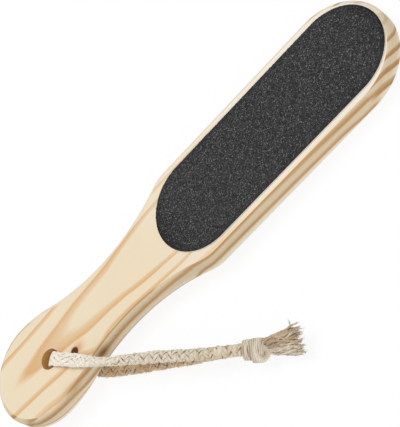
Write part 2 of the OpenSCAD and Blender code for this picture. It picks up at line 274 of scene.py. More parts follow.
# How thick the yarns of a band lie on the knot's core, how much less at a band's edges in
# millimetres, and the knot's tone, between the painted lit white and the natural cotton
KNOT_WALL, BAND_CROWN, WRAP_TONE = 1.0 * MM, 0.9, 0.42

# The file lies on the underside of its back leg and on the tip of the back sheet
FLOOR_FAR = Vector((0.120, 0, BACK_GRIT_LOW.z))
FLOOR_NEAR = Vector((-0.080, 0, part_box("cord_back_leg")[0].z - 0.1 * MM))
FLOOR_SIZE, FLOOR_WHITE, FLOOR_LIGHT = 8, 0.88, 0.4
KEY_PLACE, FILL_PLACE = (-0.25, 0.55, 1.35), (0.30, -1.15, 0.40)


def srgb(text):
    """A hex colour as written for a screen, as linear red, green, blue and alpha."""
    parts = [int(text[i:i + 2], 16) / 255 for i in (1, 3, 5)]
    return tuple(c / 12.92 if c <= 0.04045 else ((c + 0.055) / 1.055) ** 2.4 for c in parts) + (1,)


def size_prop(name, description, default):
    return bpy.props.FloatProperty(
        name=name, description=description, default=default, min=0, unit="LENGTH", precision=5)


def colour_prop(name, description, text):
    return bpy.props.FloatVectorProperty(
        name=name, description=description, default=srgb(text), size=4, min=0, max=1,
        subtype="COLOR")


class FootFileBoard(bpy.types.PropertyGroup):
    length: size_prop("Length", "From the handle end to the tip", BOARD_HIGH.x - BOARD_LOW.x)
    thickness: size_prop("Thickness", "Thickness of the board", BOARD_HIGH.z - BOARD_LOW.z)
    head: size_prop("Head width", "Width of the head", BOARD_HIGH.y - BOARD_LOW.y)
    neck: size_prop("Neck width", "Width of the neck at its narrowest", 0.0364)
    handle: size_prop("Handle width", "Width of the handle at its widest", 0.0536)
    neck_radius: size_prop("Neck radius", "Radius of the hollow curves of the neck", 0.1025)
    shoulder_radius: size_prop("Shoulder radius", "Radius where the head begins", 0.021)
    flank_radius: size_prop("Flank radius", "Radius between handle end and neck", 0.0575)
    edge: size_prop("Edge radius", "Radius of the rounded edge round both faces", 0.0022)
    hole: size_prop("Hole diameter", "Diameter of the hole for the cord", 0.010)
    hole_inset: size_prop("Hole inset", "From the handle end to the middle of the hole", 0.034)
    hole_shift: size_prop("Hole shift", "Distance of the hole from the middle line", 0.001)
    mouth: size_prop("Hole mouth", "Rounding of both mouths of the hole", 0.0005)
    early: colour_prop("Early wood", "Pale wood between the year rings", "#ECDEC2")
    late: colour_prop("Late wood", "Orange line of a year ring", "#D4994F")
    knot: colour_prop("Branch knot", "Heart of the small dead branch", "#502709")
    side: colour_prop("Side bands", "Brown rings cut lengthwise by the side", "#AC7A3A")
    # The drilled wall's colour is its darker end grain, deepened with painted shade inside the
    # hole
    bore_and_shade: colour_prop("Drilled wall", "End grain inside the hole", "#D09C5E")


class FootFileSheets(bpy.types.PropertyGroup):
    grain: size_prop("Grain size", "Size of the grains on the coarse sheet", 0.00036)
    fine_grain: size_prop("Fine grain size", "Size of the grains on the fine sheet", 0.00030)
    relief: size_prop("Grain relief", "How far the coarse grains stand out", 0.00022)
    fine_relief: size_prop("Fine relief", "How far the fine grains stand out", 0.00014)
    grit: colour_prop("Grit", "Black silicon carbide grains", "#0B0B0C")
    fine_grit: colour_prop("Fine grit", "Dark grey grains of the back sheet", "#333234")
    # Painted glint: the colour that single grains are painted, as though they caught the light
    painted_glint: colour_prop("Glint", "Grain faces that catch the light", "#909092")
    paper: colour_prop("Backing paper", "Bleached kraft paper", "#F4EEE2")
    film: colour_prop("Adhesive", "Clear yellowish adhesive film", "#CFC6AC")


class FootFileCord(bpy.types.PropertyGroup):
    flat_width: size_prop("Pressed width", "Width of the cord over the board", 0.0070)
    flat_depth: size_prop("Pressed thickness", "Thickness of the cord over the board", 0.0030)
    free_width: size_prop("Free width", "Width of the cord where it hangs", 0.0053)
    free_depth: size_prop("Free thickness", "Thickness of the cord where it hangs", 0.0044)
    throat: size_prop("Throat", "Thickness of a leg where it enters the knot", 0.0032)
    leg_pitch: size_prop("Leg pitch", "Between the middles of the legs at the knot", 0.0040)
    lay: size_prop("Braid length", "Length in which a strand goes once round", 0.0150)
    yarn: size_prop("Yarn", "Thickness of one yarn", 0.00095)
    wrap: size_prop("Wrap yarn", "Thickness of a yarn on the knot", 0.00084)
    knot: size_prop("Knot", "Thickness of the knot across its wraps", 0.0104)
    tail_pitch: size_prop("Tail pitch", "Between the middles of the tails", 0.0034)
    tail_yarn: size_prop("Tail yarn", "Thickness of one yarn of a tail", 0.00095)
    # Painted light and shade: the first colour is the cotton as lit over the board, the third is
    # painted shade where it lies under the board, and the last is painted shade in the braid's
    # hollows, also laid in blotches and flecks of dirt
    white: colour_prop("Clean cotton", "Bleached cotton over the board", "#FCF7E9")
    natural: colour_prop("Natural cotton", "Unbleached cotton of the free loop", "#E4D8C1")
    brown_shade: colour_prop("Rubbed cotton", "Cotton browned by wear, under the board", "#D8B68B")
    shade: colour_prop("Worn cotton", "Grey brown in the hollows of the braid", "#A58D6E")


class FootFileStage(bpy.types.PropertyGroup):
    floor: colour_prop("Floor", "Pale floor", "#FFFFFF")
    sky: bpy.props.FloatProperty(
        name="Room light", description="Strength of the even light all round", default=0.55, min=0)
    key: bpy.props.FloatProperty(
        name="Key light", description="Power of the soft lamp above", default=10.2, min=0,
        unit="POWER")
    key_size: size_prop("Key size", "Side of both soft lamps", 0.9)
    fill: bpy.props.FloatProperty(
        name="Fill light", description="Power of the soft lamp in front", default=4.0, min=0,
        unit="POWER")


def add_node(tree, kind, *inputs, out=0, stops=(), **settings):
    """Adds one node with its settings and links, and gives one of its outputs, or all of them
    where out is None. A maths node's kind has its operation after it. Inputs fill the sockets
    in order, and those in a dictionary by name or number: each is a value, a hex colour or
    another node's output to link. Stops are the places and levels of a grey ramp."""
    kind, _, operation = kind.partition(" ")
    node = tree.nodes.new("ShaderNode" + kind)
    if operation:
        node.operation = operation
    for name, value in settings.items():
        setattr(node, name, value)
    sockets = {}
    for number, value in enumerate(inputs):
        sockets.update(value if isinstance(value, dict) else {number: value})
    for name, value in sockets.items():
        if isinstance(value, bpy.types.NodeSocket):
            tree.links.new(value, node.inputs[name])
        else:
            node.inputs[name].default_value = srgb(value) if isinstance(value, str) else value
    if stops:
        points = node.color_ramp.elements
        for _ in stops[2:]:
            points.new(0.5)
        for point, (place, level) in zip(points, stops):
            point.position, point.color = place, (level, level, level, 1)
    return node.outputs if out is None else node.outputs[out]


def new_material(name):
    """An empty material, and the function that adds nodes to it."""
    material = bpy.data.materials.new(name)
    material.use_nodes = True
    material.node_tree.nodes.clear()
    return material, functools.partial(add_node, material.node_tree)


def finish_material(node, sockets):
    """Ends a material with its shader and its output."""
    node("OutputMaterial", node("BsdfPrincipled", sockets), out=None)


def coats(node, colour, *layers):
    """Lays tints over a colour, one after the other: each has a mask, a share and a tint."""
    for mask, share, tint in layers:
        factor = node("Math MULTIPLY", mask, share)
        colour = node("Mix", {0: factor, 6: colour, 7: tint}, out=2, data_type="RGBA")
    return colour


def millimetres(node, stretch=(1, 1, 1), place=(0, 0, 0)):
    """The piece's own coordinates in millimetres, stretched and moved. A noise pattern with
    Scale 1 then has about stretch swings in a millimetre along each axis."""
    scale = [share / MM for share in stretch]
    return node("Mapping", node("TexCoord", out="Object"), {"Location": place, "Scale": scale})


def near(node, vector, place, spread, flatten):
    """One at a place and falling smoothly to nothing a few spreads away."""
    moved = node("VectorMath SUBTRACT", vector, place)
    scaled = node("VectorMath MULTIPLY", moved, [share / spread for share in flatten])
    length = node("VectorMath LENGTH", scaled, out="Value")
    square = node("Math MULTIPLY", length, length)
    return node("Math EXPONENT", node("Math MULTIPLY", square, -1))


def places(points, span=1, zero=0):
    """Ramp stops from places along the board in millimetres and their levels."""
    return [((at + BOARD_REACH) / (2 * BOARD_REACH), level / span + zero)
            for at, level in points]


def ring_lines(node, radius, rings):
    """Late wood: each ring darkens outwards from the heart and ends at a sharp edge."""
    stops = [(0, 0)] + [
        ((edge - share * width - inside) / RING_REACH, level * strength)
        for edge, width, strength in rings for share, inside, level in RING_SHAPE]
    return node("ValToRGB", node("Math DIVIDE", radius, RING_REACH), stops=stops)


def side_level(node, z, board):
    """How far a place is from the middle of the side, measured round the rounded edges, and
    the same as a height, which is below zero towards the back."""
    edge = board.edge / MM
    straight = board.thickness / MM / 2 - edge
    size = node("Math ABSOLUTE", z)
    over = node("Math DIVIDE", node("Math SUBTRACT", size, straight), edge, use_clamp=True)
    bent = node("Math MULTIPLY", node("Math ARCSINE", over), edge)
    reach = node("Math ADD", node("Math MINIMUM", size, straight), bent)
    return reach, node("Math MULTIPLY", reach, node("Math SIGN", z))


def side_rings(node, along, level):
    """The year rings of the side, each along its own path."""
    share = node("Math ADD", node("Math DIVIDE", level, LEVEL_SPAN), LEVEL_ZERO)
    total = 0
    for points, below, above, strength in SIDE_RINGS:
        path = node("ValToRGB", along, stops=places(points, LEVEL_SPAN, LEVEL_ZERO))
        away = node("Math ADD", node("Math SUBTRACT", share, path), 0.5)
        line = node("ValToRGB", away, stops=[
            (0.5 + at * (below if at < 0 else above) / LEVEL_SPAN, tone * strength)
            for at, tone in SIDE_SHAPE])
        total = node("Math MAXIMUM", line, total)
    return total


def pine_material(board):
    """Pine, sawn, sanded and left bare: pale early wood with soft orange late wood lines,
    silky and without gloss, with a small dead branch beside the hole. The rings are circles
    round a heart that lies above the front face, so the face cuts them in long arches."""
    material, node = new_material("sanded_pine")
    where = millimetres(node)
    x, y, z = node("SeparateXYZ", where, out=None)
    # Along and across the grain, in millimetres: waves and patches of 50 by 20, ripples of 20
    # by 3, fibres of 22 by 0.6, and threads of 8 by 0.2, coarser than real ones so that they
    # show
    waves = node("TexNoise", millimetres(node, (0.02, 0.05, 0.05)), SMOOTH)
    ripples = node("TexNoise", millimetres(node, (0.05, 0.3, 0.3), (7, 3, 1)), ROUGH)
    patches = node("TexNoise", millimetres(node, (0.02, 0.05, 0.05), (3, 9, 5)), SMOOTH)
    fibres = node("TexNoise", millimetres(node, (0.045, 1.6, 1.6)), FIBROUS)
    threads = node("TexNoise", millimetres(node, (0.12, 5, 5)), {"Scale": 1, "Roughness": 0.6})
    spot = {name: near(node, where, *shape) for name, shape in SPOTS.items()}
    along = node("MapRange", x, -BOARD_REACH, BOARD_REACH)
    stretch = {name: node("ValToRGB", along, stops=places(points))
               for name, points in STRETCHES.items()}

    # How far each place is from the heart of the tree, and by how many millimetres the rings
    # wander and bend
    height = node("ValToRGB", along, stops=places(HEART_HEIGHTS, HEART_SPAN))
    height = node("Math MULTIPLY", height, HEART_SPAN)
    up = node("Math SUBTRACT", node("Math ADD", height, board.thickness / MM / 2), z)
    spoke = node("CombineXYZ", 0, node("Math SUBTRACT", y, HEART_SHIFT), up)
    radius = node("VectorMath LENGTH", spoke, out="Value")
    bends = ((waves, 0.5, 1.2), (ripples, 0.5, 0.6), (spot["branch"], 0, 1.3),
             (spot["edge_branch"], 0, -3.6), (spot["swell"], 0, -1.5))
    for pattern, middle, most in bends:
        bend = node("Math MULTIPLY", node("Math SUBTRACT", pattern, middle), most)
        radius = node("Math ADD", radius, bend)
    late = coats(node, ring_lines(node, radius, HANDLE_RINGS), (
        node("MapRange", x, *HEAD_STRETCH), 1, ring_lines(node, radius, HEAD_RINGS)))
    late = node("Math MULTIPLY", late, node("MapRange", patches, 0.3, 0.7, 0.75))

    # The side cuts the rings lengthwise, and at both ends of the board it cuts them across
    reach, level = side_level(node, z, board)
    wall = node("MapRange", reach, *WALL_LEVELS)
    face = node("Math SUBTRACT", 1, wall)
    calm = node("Math MULTIPLY", stretch["calm"], face)
    late = node("Math MULTIPLY", late, node("Math SUBTRACT", 1, calm))
    left = node("Math GREATER_THAN", y, 0)
    level_here = node("Math ADD", level, node("Math MULTIPLY", left, LEFT_SHIFT))
    cut = node("Math MULTIPLY", stretch["lengthwise"], side_rings(node, along, level_here))
    across = node("Math MULTIPLY", node("Math SUBTRACT", 1, stretch["lengthwise"]),
                  node("Math MULTIPLY", late, 1.5, use_clamp=True))
    bands = node("Math MULTIPLY", node("Math ADD", cut, across), wall)
    # Painted bounce light from the floor on the lower part of the side
    foot = node("Math MAXIMUM", node("MapRange", level, *FOOT_LEVELS, 0, FOOT_MOST),
                node("Math MULTIPLY", left, FOOT_LEFT))
    rim = node("Math SUBTRACT", node("MapRange", y, *RIM_PLACES), wall, use_clamp=True)
    core = node("ValToRGB", spot["branch_core"], stops=[(0.3, 0), (0.55, 1)])
    hole = (board.hole_inset / MM + BOARD_LOW.x / MM, -board.hole_shift / MM, 0)
    from_hole = node("VectorMath DISTANCE", node("CombineXYZ", x, y), hole, out="Value")
    bore_and_shade = node("Math LESS_THAN", from_hole, board.hole / MM / 2 + BORE_MARGIN)

    colour = coats(
        node, board.early, (late, 1, board.late),
        # Painted shade: the side is painted greyer and darker than the face, and painted paler
        # towards its lower edge as bounce light from the floor
        (wall, 1, coats(node, "#D6C6A9", (foot, 1, "#EFE8DA"))),
        (bands, 1, board.side),
        (node("Math MULTIPLY", bands, stretch["brown"]), 0.3, "#84541E"),
        (node("ValToRGB", fibres, stops=[(0.25, 0), (0.75, 1)]), 0.14, "#E2C79E"),
        (node("ValToRGB", threads, stops=[(0.3, 1), (0.6, 0)]), 0.10, "#D9B78A"),
        (node("ValToRGB", patches, stops=[(0.35, 0), (0.75, 1)]), 0.20, "#EFD4B0"),
        (node("Math SUBTRACT", stretch["pale"], wall, use_clamp=True), 0.65, "#F8F2E8"),
        (node("Math MULTIPLY", rim, stretch["rim"]), 0.32, "#EFC98F"),
        (spot["swirl"], 0.75, "#DB9750"), (core, 1, board.knot),
        (spot["stain"], 0.5, "#A8732F"), (spot["edge_core"], 0.85, "#85501E"),
        # Inside the hole: darker end grain, deepened with painted shade
        (bore_and_shade, 1, board.bore_and_shade))
    grain = node("Math ADD", node("Math MULTIPLY", fibres, 0.6), threads)
    bump = node("Bump", {"Height": grain, "Strength": 0.12, "Distance": 0.05 * MM})
    finish_material(node, {
        "Base Color": colour, "Roughness": 0.6, "IOR": 1.5, "Specular IOR Level": 0.15,
        "Normal": bump})
    return material


def grit_material(name, grain, base, painted_glint):
    """Silicon carbide grains in black resin: matt black, with painted glints where single grains
    are painted bright as though their faces caught the light. The grains are drawn about twice
    as coarse as real ones, so that they show."""
    material, node = new_material(name)
    where = millimetres(node)
    cells = node("TexVoronoi", where, {"Scale": MM / grain}, out=None)
    tone = node("SeparateColor", cells["Color"], out=None)
    # Over 3 mm towards its cut edge the sheet is painted darker
    x, y, _ = node("SeparateXYZ", where, out=None)
    radius = (FRONT_GRIT_HIGH.y - FRONT_GRIT_LOW.y) / 2 / MM
    middle = (FRONT_GRIT_HIGH.x + FRONT_GRIT_LOW.x) / 2 / MM
    straight = (FRONT_GRIT_HIGH.x - FRONT_GRIT_LOW.x) / 2 / MM - radius
    off = node("Math ABSOLUTE", node("Math SUBTRACT", x, middle))
    off = node("Math MAXIMUM", node("Math SUBTRACT", off, straight), 0)
    reach = node("VectorMath LENGTH", node("CombineXYZ", off, y), out="Value")
    colour = coats(
        node, base,
        (node("ValToRGB", tone[1], stops=[(0, 1), (0.5, 0)]), 0.95, "#060607"),
        # Painted glint on single grains
        (node("ValToRGB", tone[0], stops=[(0.5, 0), (0.9, 0.25), (1, 0.85)]), 1, painted_glint),
        (node("TexNoise", millimetres(node, (0.08, 0.08, 0.08)), ROUGH), 0.22, "#3C3A39"),
        (node("MapRange", reach, radius - 3, radius - 0.3, 0, 0.6), 1, "#121217"))
    bump = node("Bump", {"Height": cells["Distance"], "Strength": 0.6, "Distance": 0.15 * MM},
                invert=True)
    finish_material(node, {
        "Base Color": colour, "Roughness": node("MapRange", tone[2], 0, 1, 0.4, 0.85),
        "IOR": 1.55, "Specular IOR Level": 0.2, "Normal": bump})
    return material


def paper_material(paper):
    """Bleached kraft paper cut with a die: creamy, matt, with short fibres along its cut edge."""
    material, node = new_material("kraft_paper")
    # Fibres of 0.8 mm, pressed to a fifth of that through the sheet
    fibres = node("TexNoise", millimetres(node, (1.2, 1.2, 6)), FIBROUS)
    bump = node("Bump", {"Height": fibres, "Strength": 0.3, "Distance": 0.05 * MM})
    finish_material(node, {
        "Base Color": coats(node, paper, (fibres, 1, "#DDD3C0")), "Roughness": 0.85,
        "IOR": 1.45, "Normal": bump})
    return material


def film_material(film):
    """Acrylic adhesive film: clear and yellowish, softly glossy at its thin edge."""
    material, node = new_material("adhesive_film")
    # Smears of 2 mm
    smears = node("TexNoise", millimetres(node, (0.5, 0.5, 0.5)), ROUGH)
    finish_material(node, {
        "Base Color": coats(node, film, (smears, 1, "#E2D9BE")), "Roughness": 0.3, "IOR": 1.47})
    return material


def cotton_material(name, cord):
    """Cotton yarn, spun and braided: soft and matt with fine twisted fibres, painted white where
    it lies lit over the board, brown where it lies shaded under it, and with shade painted in
    its hollows. UV is across and along each yarn."""
    material, node = new_material(name)
    # tone paints light and shade over the cotton's own tone, and hollow paints shade in the gaps
    tone, hollow = (node("Attribute", out="Fac", attribute_name=kind)
                    for kind in ("tone", "hollow"))
    # A fibre shows every fifth of a turn round the yarn, and the twist repeats every 2 mm
    twist = node("TexWave", node("UVMap", uv_map="yarn"), {
        "Scale": 1.6, "Distortion": 2.5, "Detail": 2, "Detail Scale": 1.5},
        out="Fac", bands_direction="DIAGONAL")
    # Flecks of 0.9 mm and blotches of 4.5 mm
    flecks = node("TexNoise", millimetres(node, (1.1, 1.1, 1.1)), FIBROUS)
    blotches = node("TexNoise", millimetres(node, (0.22, 0.22, 0.22)), SMOOTH)
    # Dirt in blotches, with the shade painted in the hollows
    dirt_and_hollow_shade = node("Math MULTIPLY", node("Math SUBTRACT", blotches, 0.45), tone)
    dirt_and_hollow_shade = node("Math ADD", node("Math MULTIPLY", hollow, 0.8), dirt_and_hollow_shade, use_clamp=True)
    # Painted light and shade by tone: white where the cord lies lit on the board, natural where it
    # hangs, brown where it lies shaded under the board; then shade in the hollows and dirt
    colour = coats(
        node, cord.white,
        (node("ValToRGB", tone, stops=[(0, 0), (0.6, 1)]), 1, cord.natural),
        (node("ValToRGB", tone, stops=[(0.6, 0), (1, 1)]), 1, cord.brown_shade),
        (dirt_and_hollow_shade, 1, cord.shade),
        (node("ValToRGB", flecks, stops=[(0.35, 1), (0.6, 0)]), 0.18, cord.shade))
    bump = node("Bump", {
        "Height": node("Math ADD", twist, flecks), "Strength": 0.4, "Distance": 0.08 * MM})
    finish_material(node, {
        "Base Color": colour, "Roughness": 0.9, "IOR": 1.5, "Specular IOR Level": 0.2,
        "Sheen Weight": 0.25, "Sheen Roughness": 0.6, "Normal": bump})
    return material


def deselect():
    if bpy.context.object and bpy.context.object.mode == "EDIT":
        bpy.ops.object.mode_set(mode="OBJECT")
    bpy.ops.object.select_all(action="DESELECT")


def only(piece):
    """Makes one object the selected and active one."""
    deselect()
    piece.select_set(True)
    bpy.context.view_layer.objects.active = piece


def apply_modifier(piece, kind, **settings):
    only(piece)
    modifier = piece.modifiers.new(kind.lower(), kind)
    for name, value in settings.items():
        setattr(modifier, name, value)
    bpy.ops.object.modifier_apply(modifier=modifier.name)


def select_parts(piece, kind, wanted):
    """In edit mode, selects the vertices or edges whose middle is wanted."""
    bpy.ops.mesh.select_mode(type={"vertices": "VERT", "edges": "EDGE"}[kind])
    bpy.ops.mesh.select_all(action="DESELECT")
    bpy.ops.object.mode_set(mode="OBJECT")
    points = piece.data.vertices
    for part in getattr(piece.data, kind):
        ends = [part.co] if kind == "vertices" else [points[end].co for end in part.vertices]
        part.select = wanted(sum(ends, Vector()) / len(ends))
    bpy.ops.object.mode_set(mode="EDIT")


def edit_all():
    """Goes into edit mode with all of the active mesh selected."""
    bpy.ops.object.mode_set(mode="EDIT")
    bpy.ops.mesh.select_all(action="SELECT")


def dress(piece, material):
    """Gives a piece or a CAD node its finish."""
    piece.data.materials.clear()
    piece.data.materials.append(material)


def settle(piece, name):
    """Names a piece and puts its place into its mesh."""
    only(piece)
    bpy.ops.object.transform_apply(location=True, rotation=True, scale=True)
    piece.name = name
    piece.data.name = name


def point_start(place):
    """A new mesh in edit mode with one vertex, which is selected."""
    deselect()
    bpy.ops.mesh.primitive_plane_add(size=MM, location=(0, 0, 0))
    edit_all()
    bpy.ops.mesh.merge(type="CENTER")
    bpy.ops.transform.translate(value=place)
    return bpy.context.object


def sweep_arc(middle, turn, steps):
    """Carries the selected vertices round a middle in the XY plane, anticlockwise if turn > 0."""
    bpy.ops.mesh.spin(steps=steps, angle=-turn, center=(middle[0], middle[1], 0), axis=(0, 0, 1))


def board_outline(board):
    """Half of the board's outline, from the handle end over the neck to the tip."""
    end_x = board.length / 2
    handle, tip = board.handle / 2, board.head / 2
    handle_x, tip_x = handle - end_x, end_x - tip
    flank_y = handle - board.flank_radius
    neck_y = board.neck / 2 + board.neck_radius
    shoulder_y = tip - board.shoulder_radius
    to_neck = board.neck_radius + board.flank_radius
    to_shoulder = board.neck_radius + board.shoulder_radius
    neck_x = handle_x + math.sqrt(to_neck ** 2 - (neck_y - flank_y) ** 2)
    shoulder_x = neck_x + math.sqrt(to_shoulder ** 2 - (neck_y - shoulder_y) ** 2)
    flank_end = math.atan2(neck_y - flank_y, neck_x - handle_x)
    shoulder_start = math.atan2(shoulder_y - neck_y, shoulder_x - neck_x) + math.pi
    piece = point_start((-end_x, 0, 0))
    quarter = math.pi / 2
    sweep_arc((handle_x, 0), -quarter, END_STEPS)
    sweep_arc((handle_x, flank_y), flank_end - quarter, FLANK_STEPS)
    sweep_arc((neck_x, neck_y), shoulder_start - flank_end, NECK_STEPS)
    sweep_arc((shoulder_x, shoulder_y), quarter - shoulder_start, SHOULDER_STEPS)
    bpy.ops.mesh.extrude_region_move(
        TRANSFORM_OT_translate={"value": (tip_x - shoulder_x, 0, 0)})
    sweep_arc((tip_x, 0), -quarter, END_STEPS)
    return piece


def make_board(board):
    piece = board_outline(board)
    bpy.ops.object.mode_set(mode="OBJECT")
    apply_modifier(piece, "MIRROR", use_axis=(False, True, False), merge_threshold=SAME_POINT)
    edit_all()
    bpy.ops.mesh.remove_doubles(threshold=SAME_POINT)
    bpy.ops.mesh.edge_face_add()
    bpy.ops.mesh.extrude_region_move(TRANSFORM_OT_translate={"value": (0, 0, board.thickness)})
    bpy.ops.mesh.select_all(action="SELECT")
    bpy.ops.transform.translate(value=(0, 0, -board.thickness / 2))
    bpy.ops.mesh.normals_make_consistent(inside=False)
    bpy.ops.object.mode_set(mode="OBJECT")
    apply_modifier(piece, "BEVEL", width=board.edge, segments=EDGE_STEPS,
                   limit_method="ANGLE", angle_limit=EDGE_ANGLE)
    hole = Vector((board.hole_inset - board.length / 2, -board.hole_shift, 0))
    deselect()
    bpy.ops.mesh.primitive_cylinder_add(
        vertices=HOLE_SIDES, radius=board.hole / 2, depth=2 * board.thickness, location=hole)
    drill = bpy.context.object
    apply_modifier(piece, "BOOLEAN", operation="DIFFERENCE", object=drill, solver="EXACT")
    bpy.data.objects.remove(drill)
    only(piece)
    bpy.ops.object.mode_set(mode="EDIT")
    select_parts(piece, "edges", lambda middle: (
        abs(abs(middle.z) - board.thickness / 2) < ON_LINE
        and (middle.xy - hole.xy).length < board.hole / 2 + MOUTH_MARGIN))
    bpy.ops.mesh.bevel(offset=board.mouth, segments=MOUTH_STEPS, affect="EDGES")
    bpy.ops.object.mode_set(mode="OBJECT")
    settle(piece, "pine_board")
    bpy.ops.object.shade_smooth_by_angle(angle=SMOOTH_ANGLE)
    apply_modifier(piece, "WEIGHTED_NORMAL", keep_sharp=True, weight=FACE_WEIGHT)
    dress(piece, pine_material(board))
    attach(piece, FILE_BODY)
    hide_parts("wooden_board")


def make_grit(name, low, high, grain, relief, step, material, node, face):
    """A sheet of grit on its paper's outline: a flat grid with round ends, whose free face
    is raised into grains. face is 1 on the front and -1 on the back."""
    radius = (high.y - low.y) / 2
    straight = (high.x - low.x) - 2 * radius
    middle = (low.x + high.x) / 2
    level = high.z if face > 0 else low.z
    base = low.z if face > 0 else high.z
    deselect()
    bpy.ops.mesh.primitive_grid_add(
        x_subdivisions=round(straight / step), y_subdivisions=round(2 * radius / step),
        size=1, location=(0, 0, 0))
    piece = bpy.context.object
    piece.dimensions = (straight, 2 * radius, 0)
    piece.location = (middle, 0, level - face * relief)
    settle(piece, name)
    bpy.ops.object.mode_set(mode="EDIT")
    turns = round(math.pi / 2 * radius / step)
    for side in (-1, 1):
        end = middle + side * straight / 2
        select_parts(piece, "vertices", lambda at: abs(at.x - end) < ON_LINE)
        for i in range(turns - 1):
            before, after = (math.pi / 2 * k / turns for k in (i, i + 1))
            reach = side * radius * (math.sin(after) - math.sin(before))
            bpy.ops.mesh.extrude_region_move(TRANSFORM_OT_translate={"value": (reach, 0, 0)})
            bpy.ops.transform.resize(
                value=(1, math.cos(after) / math.cos(before), 1), center_override=(0, 0, 0))
    bpy.ops.object.mode_set(mode="OBJECT")
    texture = bpy.data.textures.new(name, "VORONOI")
    texture.noise_scale = grain
    apply_modifier(piece, "DISPLACE", texture=texture, texture_coords="OBJECT", direction="Z",
                   strength=-face * 2 * relief)
    only(piece)
    edit_all()
    bpy.ops.mesh.region_to_loop()
    bpy.ops.mesh.extrude_region_move(TRANSFORM_OT_translate={"value": (0, 0, base - level)})
    bpy.ops.transform.resize(value=(1, 1, 0), center_override=(0, 0, base))
    bpy.ops.mesh.edge_face_add()
    bpy.ops.mesh.select_all(action="SELECT")
    bpy.ops.mesh.normals_make_consistent(inside=False)
    bpy.ops.object.mode_set(mode="OBJECT")
    dress(piece, material)
    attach(piece, FILE_BODY)
    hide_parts(node)


def unit(v):
    return v / np.linalg.norm(v, axis=-1, keepdims=True)


def square_to(axis, v):
    """The part of v that is square to axis, at length one."""
    return unit(v - axis * (axis * v).sum(-1, keepdims=True))


def along_line(line):
    """How far each point of a line is from its start."""
    return np.concatenate([[0], np.cumsum(np.linalg.norm(np.diff(line, axis=0), axis=1))])


def line_frame(line, side):
    """A line's heading at each point, and the directions across it, the first nearest to side."""
    heading = unit(np.gradient(line, axis=0))
    across = square_to(heading, side)
    return heading, across, np.cross(heading, across)


def oval(middle, across, over, wide, deep, angle):
    """Points at an angle on an oval, wide and deep being its radii across and over."""
    return (middle + across * (wide * np.cos(angle))[:, None]
            + over * (deep * np.sin(angle))[:, None])


def random_vector(rng, size):
    return np.array([rng.uniform(-size, size) for _ in range(3)])


def smooth_route(points, count):
    """A smooth line of evenly spaced points through a route's points."""
    p = np.array(points, float)
    p = np.vstack([2 * p[0] - p[1], p, 2 * p[-1] - p[-2]])
    fine = []
    for a, b, c, d in zip(p[:-3], p[1:-2], p[2:-1], p[3:]):
        t = np.linspace(0, 1, SPAN_STEPS, endpoint=False)[:, None]
        fine.append(0.5 * (2 * b + (c - a) * t + (2 * a - 5 * b + 4 * c - d) * t ** 2
                           + (3 * b - a - 3 * c + d) * t ** 3))
    fine = np.vstack(fine + [p[-2:-1]])
    along = along_line(fine)
    even = np.linspace(0, along[-1], count)
    line = np.stack([np.interp(even, along, fine[:, k]) for k in range(3)], axis=1)
    # Where the line stands in the list of given points, so that shares can follow it
    knots = [along[np.linalg.norm(fine - q, axis=1).argmin()] for q in p[1:-1]]
    return line, even, np.interp(even, knots, range(len(knots)))


class YarnMesh:
    """Collects yarns, each a tube of oval rings with its own UV, tone and hollow, the shade
    painted on it.
    """

    def __init__(self):
        self.points, self.faces, self.uvs, self.tones, self.hollows = [], [], [], [], []
        self.count = 0

    def add(self, line, side, wide, deep, sides, tone, hollow):
        """A tube along line: wide and deep are its radii, side is the direction of wide."""
        rings = len(line)
        _, across, over = line_frame(line, side)
        turn = np.linspace(0, TURN, sides, endpoint=False)
        wide, deep = (np.broadcast_to(r, rings)[:, None, None] for r in (wide, deep))
        ring = (line[:, None] + across[:, None] * wide * np.cos(turn)[None, :, None]
                + over[:, None] * deep * np.sin(turn)[None, :, None])
        self.points.append(ring.reshape(-1, 3))
        start = self.count
        self.count += rings * sides
        along = along_line(line) / MM
        for i in range(rings - 1):
            for k in range(sides):
                n = (k + 1) % sides
                a, b = start + i * sides, start + (i + 1) * sides
                self.faces.append((a + k, a + n, b + n, b + k))
                u, v = k / sides, (k + 1) / sides
                self.uvs += [(u, along[i]), (v, along[i]), (v, along[i + 1]), (u, along[i + 1])]
        for first, order in ((start, range(sides - 1, -1, -1)),
                             (start + (rings - 1) * sides, range(sides))):
            self.faces.append(tuple(first + k for k in order))
            self.uvs += [(k / sides, 0) for k in order]
        self.tones.append(np.repeat(np.broadcast_to(tone, rings), sides))
        self.hollows.append(np.repeat(np.broadcast_to(hollow, rings), sides))

    def build(self, name, material):
        mesh = bpy.data.meshes.new(name)
        mesh.from_pydata(np.vstack(self.points).tolist(), [], self.faces)
        layer = mesh.uv_layers.new(name="yarn")
        layer.data.foreach_set("uv", np.array(self.uvs, float).ravel())
        for attribute, values in (("tone", self.tones), ("hollow", self.hollows)):
            mesh.attributes.new(attribute, "FLOAT", "POINT").data.foreach_set(
                "value", np.clip(np.concatenate(values), 0, 1))
        mesh.shade_smooth()
        mesh.materials.append(material)
        piece = bpy.data.objects.new(name, mesh)
        bpy.context.scene.collection.objects.link(piece)
        return piece


def drift(rng, even, kind):
    """A slow random wander along a line, of one of the kinds of WANDER."""
    reach, size = WANDER[kind]
    count = max(4, round(even[-1] / reach) + 3)
    values = np.array([rng.uniform(-size, size) for _ in range(count)])
    at = even / even[-1] * (count - 1)
    low = np.minimum(at.astype(int), count - 2)
    share = at - low
    share = share * share * (3 - 2 * share)
    return values[low] * (1 - share) + values[low + 1] * share


